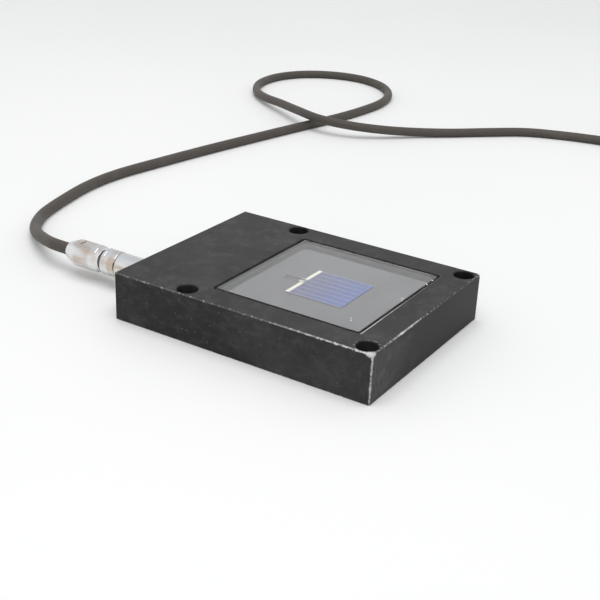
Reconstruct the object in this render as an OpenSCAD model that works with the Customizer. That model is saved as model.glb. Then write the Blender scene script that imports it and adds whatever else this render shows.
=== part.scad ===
// Solar reference cell: a small silicon cell under a window in a black aluminium block,
// with a push-pull connector on its end and a lead that carries a second plug.
// Frame: origin at the bottom centre of the housing, +X along the long front face, +Z up.
// The connector points along -X. The front face looks along -Y. Lengths are in millimetres.

/* [Housing] */
// Length of the housing along its front face
body_l = 92; // [90:1:110]
// Width of the housing from front to back
body_w = 70; // [70:1:90]
// Height of the housing
body_h = 16; // [16:0.5:22]
// Break on the outer edges
edge_break = 0.3; // [0.1:0.1:0.8]

/* [Mounting holes] */
// Diameter of the four through holes
mount_hole_d = 6.6; // [4:0.1:7]
// Distance of a hole's middle from the end and from the long faces
mount_hole_inset = 4; // [4:0.25:5]
// Bevel at each mouth of a hole
mount_hole_bevel = 0.3; // [0.1:0.1:0.5]

/* [Window] */
// Side of the square recess that holds the glass
window_side = 51.5; // [50:0.5:54]
// Corner radius of the recess
window_corner_r = 1; // [0.6:0.1:2]
// Corner radius of the glass
glass_corner_r = 0.5; // [0.4:0.1:1]
// Gap between the glass and the recess all round
glass_gap = 0.6; // [0.3:0.05:0.7]
// Rim between the recess and the housing's end
window_rim = 9.5; // [9:0.5:12]
// Thickness of the glass
glass_t = 2; // [1.5:0.1:2.4]
// How far the glass lies below the top face
glass_sunk = 0.1; // [0.1:0.05:0.4]
// Polished bevel round the glass
glass_bevel = 0.3; // [0.1:0.1:0.5]
// Bevel on the rim of the recess
rim_bevel = 0.2; // [0.1:0.05:0.25]
// Width of the ledge under the glass
ledge_w = 1.4; // [1.3:0.1:2.4]
// Thickness of the bead of sealant on the ledge
bead_t = 0.2; // [0.1:0.05:0.4]

/* [Cell] */
// Side of the square silicon cell
cell_side = 20; // [15:0.5:24]
// How far the cell lies from the window's middle, away from the connector
cell_shift = 0.3; // [0:0.1:1]
// Thickness of the cell
cell_t = 0.3; // [0.2:0.05:0.5]
// Air gap between the cell and the glass
cell_gap = 1.5; // [1:0.05:1.7]
// Width of the busbar along one edge of the cell
busbar_w = 1.3; // [0.8:0.1:2]
// Height of the busbar
busbar_t = 0.1; // [0.05:0.05:0.2]
// Number of grid fingers
finger_count = 8; // [4:1:12]
// Width of a finger
finger_w = 0.3; // [0.1:0.05:0.5]
// Height of a finger
finger_t = 0.05; // [0.02:0.01:0.1]

/* [Cell carrier] */
// Thickness of the plate that carries the cell
carrier_t = 1; // [0.8:0.1:1.2]
// Thickness of the contact foil under the cell
foil_t = 0.1; // [0.05:0.05:0.2]
// Thickness of the thermal pad under the carrier
pad_t = 0.15; // [0.1:0.05:0.3]
// Thickness of the housing's web under the carrier
web_t = 2.2; // [2:0.1:3]

/* [Back cover] */
// How far the cover stays inside each end of the housing
cover_inset_l = 2.5; // [2:0.25:3]
// How far the cover stays inside the front and back faces
cover_inset_w = 9.5; // [9:0.5:11]
// Thickness of the back cover
cover_t = 2; // [1.8:0.1:2.2]
// Thickness of the gasket above the cover
gasket_t = 0.5; // [0.3:0.1:0.6]
// Thread diameter of the cover screws
cover_screw_d = 2.5; // [2:0.1:2.6]
// Length of the cover screws
cover_screw_l = 6; // [5:0.5:7]

/* [Wiring pocket] */
// Length of the pocket under the cell
pocket_l = 45; // [43:1:46]
// Lip that the gasket rests on along the pocket
pocket_lip = 6; // [5.5:0.25:7]
// Width of the channel from the pocket to the connector
channel_w = 9; // [9:0.5:10]
// Thickness of the end wall that holds the connector
end_wall_t = 4; // [3.5:0.25:5]

/* [Terminal board] */
// Length of the terminal board
board_l = 28; // [27:0.5:30]
// Width of the terminal board
board_w = 14; // [14:0.5:15]
// Thickness of the terminal board
board_t = 1; // [0.8:0.1:1.2]

/* [Connector] */
// Height of the connector's axis above the base
axis_z = 8; // [8:0.25:9]
// Distance of the connector's axis from the long edge of the cover
axis_inset = 10; // [9.5:0.25:10.5]
// Diameter of the receptacle's nose
nose_d = 8.8; // [8.6:0.1:9.2]
// Length of the receptacle's nose
nose_l = 14; // [13:0.5:16]
// Diameter of the receptacle's bore
nose_bore_d = 6.6; // [6.5:0.1:6.8]
// Diameter of the receptacle's thread
thread_d = 7.8; // [7.6:0.1:8.2]
// Diameter of the latch sleeve
sleeve_d = 9; // [8.8:0.1:9.4]
// Length of the latch sleeve
sleeve_l = 6.1; // [5.8:0.1:7]
// Travel of the latch sleeve
sleeve_travel = 1.4; // [1:0.1:1.6]
// Diameter of the collet nut
nut_d = 9.2; // [8.8:0.1:9.6]
// Length of the collet nut
nut_l = 15.3; // [14.5:0.1:16]
// Number of contacts round the centre contact
contact_ring_count = 6; // [4:1:6]

/* [Cable] */
// Diameter of the cable
cable_d = 4.2; // [4:0.1:4.4]
// Turns in the coil
coil_turns = 5.25; // [4.25:1:7.25]
// Radius of the innermost turn, at the middle of the cable
coil_inner_r = 17.2; // [16:0.2:20]
// Free gap between turns that lie side by side
coil_gap = 0.45; // [0.42:0.01:0.8]
// Thickness of the strap round the coil
tie_t = 0.5; // [0.4:0.1:0.8]
// Width of the strap round the coil
tie_w = 9; // [6:0.5:12]

/* [Hidden] */
$fn = 48;

// Overrun of every cut, and the clearances that the fits share
over = 0.5;
running = 0.05;
loose = 0.15;

// Levels of the stack from the top face down
glass_top_z = body_h - glass_sunk;
glass_z = glass_top_z - glass_t;
ledge_z = glass_z - bead_t;
cell_top_z = glass_z - cell_gap;
cell_z = cell_top_z - cell_t;
foil_z = cell_z - foil_t;
carrier_z = foil_z - carrier_t;
well_floor_z = carrier_z - pad_t;
pocket_top_z = well_floor_z - web_t;
cover_seat_z = cover_t + gasket_t;

// Places that follow from the housing's size
window_shift = (body_l - window_side) / 2 - window_rim;
mount_hole_dx = window_side + 2 * (window_rim - mount_hole_inset);
mount_hole_dy = body_w - 2 * mount_hole_inset;
cover_l = body_l - 2 * cover_inset_l;
cover_w = body_w - 2 * cover_inset_w;
pocket_w = cover_w - 2 * pocket_lip;
axis_y = axis_inset - cover_w / 2;

// Window, well and carrier
glass_side = window_side - 2 * glass_gap;
well_side = window_side - 2 * ledge_w;
well_corner_r = 2.5;
carrier_side = well_side - 4 * loose;
cell_x = window_shift + cell_shift;
cell_left = cell_x - cell_side / 2;

// Leads that pass through the carrier and the web
lead_r = 0.2;
rear_lead_r = 0.3;
sleeve_hole_r = 1;
rear_hole_r = 0.6;
feed_offset = 6;
feed_x = cell_left - feed_offset;
feed_y = 0;
rear_x = cell_x + cell_side / 5;
rear_y = -1.5;
feed_stand = 0.25;

// Solder tab on the busbar
tab_l = 2.2;
tab_w = 2.6;
tab_t = 0.15;
tab_overhang = 0.9;

// Temperature sensor in the web under the cell
sensor_l = 2.3;
sensor_w = 2;
sensor_t = 0.9;
sensor_y = 7;
sensor_lead_r = 0.2;
sensor_lead_pitch = 1.2;

// Wiring pocket
pocket_corner_r = 3;
channel_corner_r = 2;
channel_head = 0.3;
recess_wall = 2.5;
channel_x0 = -body_l / 2 + end_wall_t;
channel_x1 = window_shift - window_side / 2 - recess_wall;
pocket_x0 = window_shift - pocket_l / 2;

// Terminal board and its fixings
board_shift = 4.5;
board_x = window_shift - board_shift;
board_drop = 1.9;
board_top_z = pocket_top_z - board_drop;
board_z = board_top_z - board_t;
board_y = -6;
board_screw_r = 1;
board_screw_head_r = 1.9;
board_screw_head_t = 0.9;
board_screw_bite = 1.8;
board_screw_x = board_x - board_l / 14;
board_screw_inset = 2;
spacer_r = 2;
post_r = 0.6;
post_stand = 0.9;
post_x = feed_x + post_r + 1.2 * post_r;
post_pitch = 2.2;
post_y0 = board_y - board_w / 2 + post_pitch;
wire_r = 0.45;
wire_z = board_top_z + wire_r + post_stand / 2;
wire_steps = 4;
wire_sides = 8;
wire_straight_share = 0.3;

// Back cover
cover_corner_r = 2;
cover_loose = 0.1;
cover_screw_inset_x = 3.4;
cover_screw_inset_y = 3.2;
cover_screw_head_r = 2.35;
cover_screw_head_h = 1.4;
cover_screw_hex_r = 0.9;
cover_screw_hex_h = 1;
cover_hole_r = cover_screw_d / 2 + loose;

// Receptacle, measured outward from the end face of the housing
flange_r = 5.4;
flange_t = 1.4;
seal_d = 0.8;
seal_r = 4.7;
socket_floor = 2;
insert_r = 2.5;
insert_stand = 9;
insert_tail = 2.5;
tail_r = 3.4;
tail_l = 1.5;
contact_ring_r = 1.5;
pin_r = 0.25;
contact_r = 0.45;
pin_depth = 5;
cup_l = 2.5;
key_w = 1;
key_h = 0.4;

// Plug, on the same outward measure while it is plugged in
tip_gap = 0.3;
shell_tip = socket_floor + tip_gap;
shell_bore_r = insert_r + 2 * running;
shell_nose_r = nose_bore_d / 2 - running;
collar_start = nose_l + tip_gap;
collar_r = 3.9;
collar_l = 2.9;
neck_r = 3.4;
sleeve_start = collar_start;
sleeve_end = sleeve_start + sleeve_l;
sleeve_chamfer = 0.35;
nut_start = sleeve_end + sleeve_travel + 0.1 * sleeve_travel;
nut_end = nut_start + nut_l;
nut_chamfer = 1.2;
nut_cone_l = 4.4;
nut_tip_r = 2.6;
nut_thread_l = 7.1;
nut_flat_across = 8.3;
nut_flat_start = 2.8;
nut_flat_l = 6.2;
plug_insert_face = insert_stand + tip_gap + running;
plug_insert_l = 12;
cable_inside = 7;
collet_wall = 0.8;
collet_slit = 0.5;
cable_hole_r = cable_d / 2 + loose;

// The cable's free route on the table, from the plug to the coil, chosen by hand
cable_r = cable_d / 2;
lift = tie_t;
run_points = [
    [-76.24, -15.5, 8], [-83.24, -15.5, 8], [-90.5, -15.2, 7.9], [-95.5, -13.5, 7.3],
    [-101, -10.5, 6.2], [-108, -6, 4.6], [-115.5, 0, 3.1], [-122, 7.5, 2.2], [-127, 17, 2.1],
    [-132, 34, 2.1], [-135.5, 51, 2.1],
    [-136, 70, 2.1], [-132.5, 95, 2.1], [-128, 122, 2.1], [-122.5, 150, 2.1], [-116.5, 179, 2.1],
    [-110.5, 206, 2.1], [-107.5, 229, 2.1], [-107.5, 249, 2.1], [-113, 267, 2.1], [-125, 281, 2.1],
    [-142, 288, 2.1], [-160, 285.5, 2.1], [-174.5, 275, 2.1], [-182, 259, 2.1], [-181, 240.5, 2.1],
    [-172, 224.5, 2.4], [-158, 212, 3.6], [-141, 201.5, 5.4], [-124, 191, 6.9], [-107, 184.5, 7],
    [-91, 186.5, 6.2], [-77.5, 196.5, 4.3], [-65.5, 209, 2.7], [-52, 221.5, 2.1], [-38, 235, 2.1],
    [-24, 247, 2.1], [-8, 253.5, 2.1], [9, 257.4, 2.2], [24, 258.6, 2.6], [33.4, 258.6, 2.6],
    [42.8, 258.6, 2.6]
];
run_sides = 8;
run_steps = 2;

// The coil: a spiral in on the lower layer, a climb, and a spiral out on the upper layer
coil_x = 47;
coil_pitch = cable_d + coil_gap;
coil_half = coil_turns / 2;
coil_outer_r = coil_inner_r + coil_pitch * coil_half;
coil_y = run_points[len(run_points) - 1].y + coil_outer_r;
coil_low_z = cable_r + lift;
coil_high_z = coil_low_z + coil_pitch;
coil_sides = 6;
coil_rings = 24;
climb_turns = 0.5;
coil_start_deg = -90;

// The tail from the coil to the far plug
tail_drop_l = 18;
tail_x = coil_x + coil_outer_r;
tail_y = coil_y + cable_d;
far_z = nut_d / 2;
far_y = tail_y + tail_drop_l + nut_end;
tail_points = [
    [tail_x, tail_y, coil_high_z],
    [tail_x, tail_y + 0.12 * tail_drop_l, coil_high_z],
    [tail_x, tail_y + 0.3 * tail_drop_l, coil_high_z - 0.14 * (coil_high_z - far_z)],
    [tail_x, tail_y + 0.55 * tail_drop_l, coil_high_z - 0.62 * (coil_high_z - far_z)],
    [tail_x, tail_y + 0.8 * tail_drop_l, far_z],
    [tail_x, tail_y + tail_drop_l, far_z],
    [tail_x, tail_y + tail_drop_l + cable_inside, far_z]
];

// Strap round the coil
tie_slack = 0.2;
tie_inner_l = coil_outer_r - coil_inner_r + cable_d + 2 * tie_slack;
tie_inner_h = coil_high_z - coil_low_z + cable_d + tie_slack;
tie_y = coil_y + (coil_outer_r + coil_inner_r) / 2;

// Functions for the tubes

// A unit vector along v
function unit(v) = v / norm(v);
// The whole length of a list of points, from point i on
function path_length(p, i = 0) = i + 1 >= len(p) ? 0 : norm(p[i + 1] - p[i]) + path_length(p, i + 1);
// Direction of the path at point i
function heading(p, i) = unit(p[min(i + 1, len(p) - 1)] - p[max(i - 1, 0)]);
// A point at share t of the smooth curve between points i and i + 1
function between(p, i, t) =
    let (a = p[max(i - 1, 0)], b = p[i], c = p[i + 1], d = p[min(i + 2, len(p) - 1)])
    0.5 * (2 * b + (c - a) * t + (2 * a - 5 * b + 4 * c - d) * t * t
        + (3 * b - a - 3 * c + d) * t * t * t);
// The smooth curve through the points, with a number of steps between each two
function smooth(p, steps) = concat(
    [for (i = [0:len(p) - 2]) for (k = [0:steps - 1]) between(p, i, k / steps)],
    [p[len(p) - 1]]);
// One ring of points round the path at point i
function ring(p, i, r, sides) =
    let (
        along = heading(p, i),
        side = unit(cross([0, 0, 1], along)),
        up = cross(along, side)
    )
    [for (k = [0:sides - 1]) p[i] + r * (cos(360 * k / sides) * side + sin(360 * k / sides) * up)];

// A closed tube of triangles along the points
module tube(p, r, sides) {
    last = len(p) - 1;
    points = [for (i = [0:last]) each ring(p, i, r, sides)];
    walls = [
        for (i = [0:last - 1]) for (k = [0:sides - 1])
        let (a = i * sides + k, b = i * sides + (k + 1) % sides)
        each [[a, a + sides, b], [b, a + sides, b + sides]]
    ];
    start = [for (k = [1:sides - 2]) [0, k, k + 1]];
    end = [for (k = [1:sides - 2]) [last * sides, last * sides + k + 1, last * sides + k]];
    polyhedron(points, concat(walls, start, end));
}

// Share of the climb from the lower to the upper layer, at turn t
function climbed(t) =
    let (u = min(1, max(0, (t - coil_half) / climb_turns + 0.5)))
    u * u * (3 - 2 * u);
// The middle of the coiled cable at turn t
function coil_point(t) =
    let (
        r = coil_inner_r + coil_pitch * abs(t - coil_half),
        a = coil_start_deg + 360 * t
    )
    [coil_x + r * cos(a), coil_y + r * sin(a), coil_low_z + (coil_high_z - coil_low_z) * climbed(t)];
coil_steps = ceil(coil_turns * coil_rings);
coil_path = concat(
    [run_points[len(run_points) - 1]],
    [for (i = [0:coil_steps]) coil_point(i * coil_turns / coil_steps)],
    [tail_points[0]]);
// Least distance from point i to the points more than half a turn further on
function near(i) = min([
    for (j = [i + floor(coil_rings / 2):len(coil_path) - 1]) norm(coil_path[j] - coil_path[i])]);
coil_least_gap = min([
    for (i = [0:len(coil_path) - 1 - floor(coil_rings / 2)]) near(i)]) - cable_d;
echo(coil_least_gap = coil_least_gap);
echo(cable_length = path_length(smooth(run_points, 4)) + path_length(coil_path)
    + path_length(smooth(tail_points, 4)), coil_length = path_length(coil_path));

// Shared outlines and shapes

// A rectangle with round corners, centred
module round_rect(l, w, r) {
    square([l - 2 * r, w], center = true);
    square([l, w - 2 * r], center = true);
    for (sx = [-1, 1]) for (sy = [-1, 1])
        translate([sx * (l / 2 - r), sy * (w / 2 - r)]) circle(r);
}

// A centred rectangle with its corners cut off at 45 degrees
module cut_rect(l, w, c) {
    polygon([
        [l / 2 - c, w / 2], [l / 2, w / 2 - c], [l / 2, c - w / 2], [l / 2 - c, -w / 2],
        [c - l / 2, -w / 2], [-l / 2, c - w / 2], [-l / 2, w / 2 - c], [c - l / 2, w / 2]
    ]);
}

// A block on z = 0 with all its edges broken by c
module broken_block(l, w, h, c) {
    intersection() {
        linear_extrude(h) cut_rect(l, w, c);
        translate([0, w / 2, h / 2]) rotate([90, 0, 0]) linear_extrude(w) cut_rect(l, h, c);
        translate([-l / 2, 0, h / 2]) rotate([90, 0, 90]) linear_extrude(l) cut_rect(w, h, c);
    }
}

// A straight wire from a to b with round ends
module wire_piece(a, b, r) {
    v = b - a;
    translate(a) rotate([0, acos(v.z / norm(v)), atan2(v.y, v.x)]) cylinder(r = r, h = norm(v), $fn = 16);
}

// A wire through the points, round at its bends and flat at its two ends
module wire(p, r) {
    for (i = [0:len(p) - 2]) wire_piece(p[i], p[i + 1], r);
    for (i = [1:len(p) - 2]) translate(p[i]) sphere(r, $fn = 16);
}

module at_mount_holes() {
    for (sx = [-1, 1]) for (sy = [-1, 1])
        translate([window_shift + sx * mount_hole_dx / 2, sy * mount_hole_dy / 2]) children();
}

module at_cover_screws() {
    for (sx = [-1, 0, 1]) for (sy = [-1, 1])
        translate([sx * (cover_l / 2 - cover_screw_inset_x), sy * (cover_w / 2 - cover_screw_inset_y)])
            children();
}

module at_board_screws() {
    for (sy = [-1, 1])
        translate([board_screw_x, board_y + sy * (board_w / 2 - board_screw_inset)]) children();
}

module at_contacts() {
    children();
    for (i = [0:contact_ring_count - 1])
        rotate(360 * (i + 0.5) / contact_ring_count) translate([contact_ring_r, 0]) children();
}

// Places a connector piece, drawn upward from the housing's end face, on the housing
module near_place() {
    translate([-body_l / 2, axis_y, axis_z]) rotate([0, -90, 0]) children();
}

// Places the same piece at the far end of the cable
module far_place() {
    translate([tail_x, far_y, far_z]) rotate([90, 0, 0]) children();
}

// The hollow for the wiring, seen from above
module pocket_outline() {
    translate([window_shift, 0]) round_rect(pocket_l, pocket_w, pocket_corner_r);
    channel_outline(pocket_x0 + pocket_corner_r + channel_corner_r);
}

module channel_outline(x_end) {
    translate([(channel_x0 + x_end) / 2, axis_y])
        round_rect(x_end - channel_x0, channel_w, channel_corner_r);
}

// Housing

module mount_hole_cut() {
    r = mount_hole_d / 2;
    translate([0, 0, -over]) cylinder(r = r, h = body_h + 2 * over);
    translate([0, 0, body_h - mount_hole_bevel])
        cylinder(r1 = r, r2 = r + mount_hole_bevel, h = mount_hole_bevel);
    cylinder(r1 = r + mount_hole_bevel, r2 = r, h = mount_hole_bevel);
}

module window_cut() {
    translate([window_shift, 0, ledge_z])
        linear_extrude(body_h - ledge_z + over) round_rect(window_side, window_side, window_corner_r);
    translate([window_shift, 0, well_floor_z])
        linear_extrude(body_h - well_floor_z) round_rect(well_side, well_side, well_corner_r);
    hull() {
        rim_slice(body_h - rim_bevel, 0);
        rim_slice(body_h + rim_bevel, 2 * rim_bevel);
    }
}

// A thin slice of the recess at height z, grown by a width on each side
module rim_slice(z, grow) {
    translate([window_shift, 0, z]) linear_extrude(rim_bevel / 20)
        round_rect(window_side + 2 * grow, window_side + 2 * grow, window_corner_r + grow, $fn = 32);
}

module wiring_cut() {
    translate([0, 0, -over]) linear_extrude(cover_seat_z + over)
        round_rect(cover_l + 2 * cover_loose, cover_w + 2 * cover_loose, cover_corner_r);
    linear_extrude(pocket_top_z) pocket_outline();
    linear_extrude(axis_z + thread_d / 2 + channel_head) channel_outline(channel_x1);
    translate([0, 0, cover_seat_z - over]) at_cover_screws()
        cylinder(d = cover_screw_d, h = cover_screw_l - cover_seat_z + 2 * over);
    translate([0, 0, pocket_top_z - over]) at_board_screws()
        cylinder(r = board_screw_r, h = board_screw_bite + over);
}

module housing() {
    color("#303032") difference() {
        broken_block(body_l, body_w, body_h, edge_break);
        at_mount_holes() mount_hole_cut();
        window_cut();
        wiring_cut();
        translate([feed_x, feed_y, pocket_top_z - over]) cylinder(r = sleeve_hole_r, h = web_t + 2 * over);
        translate([rear_x, rear_y, pocket_top_z - over]) cylinder(r = rear_hole_r, h = web_t + 2 * over);
        translate([window_shift, sensor_y, pocket_top_z]) linear_extrude(2 * sensor_t, center = true)
            square([sensor_l + 2 * loose, sensor_w + 2 * loose], center = true);
        near_place() translate([0, 0, -end_wall_t - over]) cylinder(d = thread_d, h = end_wall_t + 2 * over);
    }
}

// Window and cell

module window_glass() {
    color("#c4d2d6") intersection() {
        translate([window_shift, 0, glass_z]) broken_block(glass_side, glass_side, glass_t, glass_bevel);
        translate([window_shift, 0, glass_z])
            linear_extrude(glass_t) round_rect(glass_side, glass_side, glass_corner_r);
    }
}

module window_bead() {
    color("#4a4b4e") translate([window_shift, 0, ledge_z]) linear_extrude(bead_t) difference() {
        round_rect(glass_side, glass_side, glass_corner_r);
        round_rect(well_side, well_side, well_corner_r);
    }
}

module solar_cell() {
    color("#31458c") translate([cell_x, 0, cell_z]) linear_extrude(cell_t)
        square(cell_side, center = true);
}

module grid_fingers() {
    step = (cell_side - finger_w) / (finger_count - 1);
    color("#b9c2dc") for (i = [0:finger_count - 1])
        translate([cell_left + busbar_w, -cell_side / 2 + i * step, cell_top_z])
            cube([cell_side - busbar_w, finger_w, finger_t]);
}

module busbar() {
    color("#e6e2d2") translate([cell_left, -cell_side / 2, cell_top_z])
        cube([busbar_w, cell_side, busbar_t]);
}

module solder_tab() {
    color("#9ea39b") translate([cell_left - tab_overhang, -tab_w / 2, cell_top_z + busbar_t])
        cube([tab_l, tab_w, tab_t]);
}

module front_lead() {
    z = cell_top_z + busbar_t + tab_t + lead_r;
    color("#2e2a28") wire([
        [cell_left + tab_overhang, feed_y, z], [feed_x, feed_y, z], [feed_x, feed_y, board_top_z]
    ], lead_r);
}

module feedthrough_sleeve() {
    color("#1d1d1f") translate([feed_x, feed_y, pocket_top_z]) difference() {
        cylinder(r = sleeve_hole_r, h = foil_z + feed_stand - pocket_top_z);
        translate([0, 0, -over]) cylinder(r = lead_r, h = foil_z + feed_stand - pocket_top_z + 2 * over);
    }
}

module back_contact_foil() {
    color("#c4743c") translate([cell_x, 0, foil_z]) linear_extrude(foil_t)
        square(cell_side, center = true);
}

module rear_lead() {
    color("#b87333") translate([rear_x, rear_y, board_top_z])
        cylinder(r = rear_lead_r, h = foil_z - board_top_z, $fn = 16);
}

module carrier_outline() {
    difference() {
        translate([window_shift, 0]) round_rect(carrier_side, carrier_side, well_corner_r);
        translate([feed_x, feed_y]) circle(sleeve_hole_r);
        translate([rear_x, rear_y]) circle(rear_hole_r);
    }
}

module cell_carrier() {
    color("#3a3b3e") translate([0, 0, carrier_z]) linear_extrude(carrier_t) carrier_outline();
}

module thermal_pad() {
    color("#9a9da3") translate([0, 0, well_floor_z]) linear_extrude(pad_t) carrier_outline();
}

// Sensor, board and wiring

module temperature_sensor() {
    color("#e8e6df") translate([window_shift, sensor_y, pocket_top_z + sensor_t / 2])
        cube([sensor_l, sensor_w, sensor_t], center = true);
}

module sensor_leads() {
    z = pocket_top_z - sensor_lead_r;
    y_end = board_y + board_w / 2 - post_r;
    color("#c9ccd1") for (side = [-1, 1])
        translate([window_shift + side * sensor_lead_pitch / 2, 0])
            wire([[0, sensor_y, z], [0, y_end, z], [0, y_end, board_top_z]], sensor_lead_r);
}

module terminal_board() {
    color("#2f6b3c") translate([board_x, board_y, board_z]) difference() {
        linear_extrude(board_t) square([board_l, board_w], center = true);
        translate([-board_x, -board_y, -over]) at_board_screws()
            cylinder(r = board_screw_r + 2 * running, h = board_t + 2 * over);
    }
}

module board_spacers() {
    color("#d9d5c8") translate([0, 0, board_top_z]) at_board_screws() difference() {
        cylinder(r = spacer_r, h = board_drop);
        translate([0, 0, -over]) cylinder(r = board_screw_r + 2 * running, h = board_drop + 2 * over);
    }
}

module board_screws() {
    shank = board_t + board_drop + board_screw_bite;
    color("#b9bcc2") translate([0, 0, board_z]) at_board_screws() {
        cylinder(r = board_screw_r, h = shank);
        translate([0, 0, -board_screw_head_t]) difference() {
            cylinder(r = board_screw_head_r, h = board_screw_head_t);
            for (turn = [0, 90]) rotate(turn)
                cube([board_screw_head_r, board_screw_head_t / 3, board_screw_head_t], center = true);
        }
    }
}

module terminal_posts() {
    color("#d8b45a") for (i = [0:3])
        translate([post_x, post_y0 + i * post_pitch, board_top_z]) {
            cylinder(r = post_r, h = post_stand / 2);
            cylinder(r = 0.6 * post_r, h = post_stand);
        }
}

// One core from the receptacle's contact to its post. The cores leave the contacts in a
// circle, come down side by side and fan out flat over the board.
module core(i) {
    turn = [210, 330, 30, 150][i];
    y0 = axis_y + contact_ring_r * sin(turn);
    z0 = axis_z + contact_ring_r * cos(turn);
    y1 = axis_y + (i - 1.5) * 2.4 * wire_r;
    y2 = post_y0 + i * post_pitch;
    x0 = -body_l / 2 + end_wall_t + tail_l + insert_tail / 2 + cup_l;
    x1 = channel_x1 - 2 * wire_r;
    tube(smooth([
        [x0, y0, z0],
        [x0 + wire_straight_share * (x1 - x0), y0, z0],
        [x1, y1, wire_z],
        [pocket_x0 + (3 - i) * 2 * wire_r, y1, wire_z],
        [post_x - post_r, y2, wire_z]
    ], wire_steps), wire_r, wire_sides);
}

module wire_red() { color("#b3201f") core(0); }
module wire_black() { color("#1b1b1c") core(1); }
module wire_white() { color("#e4e2dc") core(2); }
module wire_yellow() { color("#d8b21f") core(3); }

// Back cover

module cover_gasket() {
    color("#5a5d60") translate([0, 0, cover_t]) linear_extrude(gasket_t) difference() {
        round_rect(cover_l, cover_w, cover_corner_r);
        pocket_outline();
        at_cover_screws() circle(cover_hole_r);
    }
}

module back_cover() {
    color("#3a3a3c") difference() {
        linear_extrude(cover_t) round_rect(cover_l, cover_w, cover_corner_r);
        at_cover_screws() {
            translate([0, 0, -over]) cylinder(r = cover_hole_r, h = cover_t + 2 * over);
            cylinder(r1 = cover_screw_head_r, r2 = cover_screw_d / 2, h = cover_screw_head_h);
        }
    }
}

module cover_screws() {
    color("#c2c4c8") at_cover_screws() difference() {
        union() {
            cylinder(r1 = cover_screw_head_r, r2 = cover_screw_d / 2, h = cover_screw_head_h);
            cylinder(d = cover_screw_d, h = cover_screw_l);
        }
        translate([0, 0, -over]) cylinder(r = cover_screw_hex_r, h = cover_screw_hex_h + over, $fn = 6);
    }
}

// Receptacle

// The flat key slot or key along the top of the connector
module key_bar(r, h, w, z0, z1) {
    translate([0, -w / 2, z0]) cube([r + h, w, z1 - z0]);
}

module receptacle_shell() {
    color("#c9cacb") near_place() difference() {
        union() {
            translate([0, 0, -end_wall_t]) cylinder(d = thread_d, h = end_wall_t);
            cylinder(r = flange_r, h = flange_t);
            cylinder(d = nose_d, h = nose_l);
            translate([0, 0, -end_wall_t - tail_l]) cylinder(r = tail_r, h = tail_l);
        }
        translate([0, 0, -end_wall_t - tail_l - over])
            cylinder(r = insert_r, h = end_wall_t + tail_l + nose_l);
        translate([0, 0, socket_floor]) cylinder(d = nose_bore_d, h = nose_l);
        key_bar(nose_bore_d / 2, key_h + running, key_w + 4 * running, socket_floor, nose_l + over);
        rotate_extrude() translate([seal_r, 0]) square([seal_d, 2 * seal_d], center = true);
    }
}

module receptacle_seal() {
    color("#1a1a1a") near_place() translate([0, 0, seal_d / 2])
        rotate_extrude() translate([seal_r, 0]) circle(d = seal_d, $fn = 24);
}

module receptacle_insert() {
    back = end_wall_t + tail_l + insert_tail / 2;
    color("#e9e4d4") near_place() difference() {
        translate([0, 0, -back]) cylinder(r = insert_r, h = back + insert_stand);
        translate([0, 0, -back - over]) at_contacts()
            cylinder(r = contact_r, h = back + insert_stand + 2 * over, $fn = 20);
    }
}

module receptacle_sockets() {
    back = end_wall_t + tail_l + insert_tail / 2 + cup_l;
    color("#d9b757") near_place() at_contacts() difference() {
        translate([0, 0, -back]) cylinder(r = contact_r, h = back + insert_stand, $fn = 20);
        translate([0, 0, insert_stand - pin_depth - over])
            cylinder(r = pin_r + running, h = pin_depth + 2 * over, $fn = 20);
    }
}

// Plug

module plug_shell_shape() {
    difference() {
        union() {
            translate([0, 0, shell_tip]) cylinder(r = shell_nose_r, h = collar_start - shell_tip);
            key_bar(shell_nose_r, key_h, key_w, shell_tip, collar_start);
            translate([0, 0, collar_start]) cylinder(r = collar_r, h = collar_l);
            translate([0, 0, collar_start]) cylinder(r = neck_r, h = nut_start + nut_thread_l - collar_start);
        }
        translate([0, 0, shell_tip - over])
            cylinder(r = shell_bore_r, h = nut_start + nut_thread_l - shell_tip + 2 * over);
    }
}

module plug_insert_shape() {
    difference() {
        translate([0, 0, plug_insert_face]) cylinder(r = shell_bore_r, h = plug_insert_l);
        translate([0, 0, plug_insert_face - over]) at_contacts()
            cylinder(r = contact_r, h = plug_insert_l + 2 * over, $fn = 20);
    }
}

module plug_pins_shape() {
    at_contacts() {
        translate([0, 0, plug_insert_face]) cylinder(r = contact_r, h = plug_insert_l + cup_l, $fn = 20);
        translate([0, 0, insert_stand - pin_depth + tip_gap])
            cylinder(r = pin_r, h = plug_insert_face - insert_stand + pin_depth - tip_gap, $fn = 20);
    }
}

module plug_collet_shape() {
    z0 = nut_start + nut_thread_l;
    length = nut_l - nut_thread_l - nut_cone_l + collet_wall;
    color("#b99a52") translate([0, 0, z0]) difference() {
        cylinder(r = cable_r + collet_wall, h = length);
        translate([0, 0, -over]) cylinder(r = cable_r, h = length + 2 * over);
        for (turn = [0, 120, 240]) rotate(turn)
            translate([0, -collet_slit / 2, length / 4]) cube([nut_d, collet_slit, length]);
    }
}

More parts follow.
